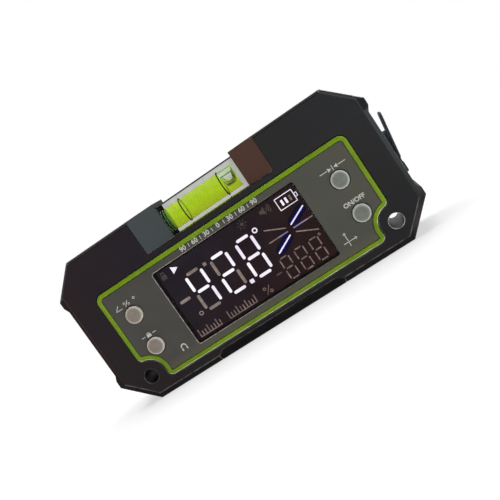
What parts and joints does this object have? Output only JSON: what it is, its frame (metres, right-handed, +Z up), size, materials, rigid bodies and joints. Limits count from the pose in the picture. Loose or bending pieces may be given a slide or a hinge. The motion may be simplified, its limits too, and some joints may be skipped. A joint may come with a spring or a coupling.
{
  "type": "digital angle gauge",
  "caption": "Handheld electronic angle gauge: display panel with push buttons, a bubble vial in the top edge, a magnetic base and a charging port under a rubber flap.",
  "frame": {"origin": "middle of the flat base face, on the plane midway between the front and rear faces", "axes": "+X to the right along the display, +Y from the front face to the rear face, +Z up"},
  "size_m": [0.1339, 0.0263, 0.061],
  "materials": {
    "casing_plastic": "satin",
    "frame_plastic": "gloss",
    "panel_plastic": "satin",
    "window_plastic": "gloss",
    "foam": "matte",
    "display_glass": "gloss",
    "white_plastic": "satin",
    "contact_rubber": "matte",
    "circuit_board": "satin",
    "screw_steel": "satin",
    "black_component": "satin",
    "button_plastic": "satin",
    "plunger_plastic": "satin",
    "socket_steel": "satin",
    "flap_rubber": "matte",
    "cell_foil": "satin",
    "tape": "matte",
    "lead_red": "satin",
    "lead_black": "satin",
    "clear_acrylic": "gloss",
    "vial_fluid": "gloss",
    "plug_rubber": "satin",
    "ring_paint": "matte",
    "base_aluminium": "satin",
    "magnet_nickel": "gloss"
  },
  "bodies": {
    "housing": {"front_housing": "casing_plastic", "rear_housing": "casing_plastic", "housing_screw_upper_left": "screw_steel", "board_screw_upper_left": "screw_steel", "housing_screw_upper_right": "screw_steel", "board_screw_upper_right": "screw_steel", "housing_screw_lower_left": "screw_steel", "board_screw_lower_left": "screw_steel", "housing_screw_lower_right": "screw_steel", "board_screw_lower_right": "screw_steel", "panel_frame": "frame_plastic", "panel_plate": "panel_plastic", "display_window": "window_plastic", "display_gasket": "foam", "display_glass": "display_glass", "display_backlight": "white_plastic", "display_holder": "white_plastic", "display_contact_strip": "contact_rubber", "circuit_board": "circuit_board", "microcontroller": "black_component", "tilt_sensor": "black_component", "buzzer": "black_component", "unit_switch": "black_component", "hold_switch": "black_component", "reference_switch": "black_component", "power_switch": "black_component", "charging_socket": "socket_steel", "charging_tongue": "black_component", "port_flap_root": "flap_rubber", "battery_cell": "cell_foil", "battery_tape": "tape", "battery_connector": "white_plastic", "battery_lead_plus": "lead_red", "battery_lead_minus": "lead_black", "vial_block": "clear_acrylic", "vial_fluid": "vial_fluid", "vial_plug": "plug_rubber", "vial_ring_left": "ring_paint", "vial_ring_right": "ring_paint", "base_plate": "base_aluminium", "base_magnet_1": "magnet_nickel", "base_magnet_2": "magnet_nickel", "base_magnet_3": "magnet_nickel", "base_magnet_4": "magnet_nickel", "base_screw_front_left": "screw_steel", "base_screw_front_right": "screw_steel", "base_screw_rear_left": "screw_steel", "base_screw_rear_right": "screw_steel"},
    "unit_button": {"unit_button": "button_plastic", "unit_plunger": "plunger_plastic"},
    "hold_button": {"hold_button": "button_plastic", "hold_plunger": "plunger_plastic"},
    "reference_button": {"reference_button": "button_plastic", "reference_plunger": "plunger_plastic"},
    "power_button": {"power_button": "button_plastic", "power_plunger": "plunger_plastic"},
    "port_flap": {"port_flap": "flap_rubber"}
  },
  "joints": [
    {"name": "unit_press", "type": "slide", "parent": "housing", "child": "unit_button", "axis": [0, 1, 0], "range_m": [0, 0.0005], "stiffness_N_per_m": 600},
    {"name": "hold_press", "type": "slide", "parent": "housing", "child": "hold_button", "axis": [0, 1, 0], "range_m": [0, 0.0005], "stiffness_N_per_m": 600},
    {"name": "reference_press", "type": "slide", "parent": "housing", "child": "reference_button", "axis": [0, 1, 0], "range_m": [0, 0.0005], "stiffness_N_per_m": 600},
    {"name": "power_press", "type": "slide", "parent": "housing", "child": "power_button", "axis": [0, 1, 0], "range_m": [0, 0.0005], "stiffness_N_per_m": 600},
    {"name": "port_flap_hinge", "type": "hinge", "parent": "housing", "child": "port_flap", "pos_m": [0.06515, -0.00092, 0.025], "axis": [0, 1, 0], "range_deg": [-8, 100]}
  ]
}
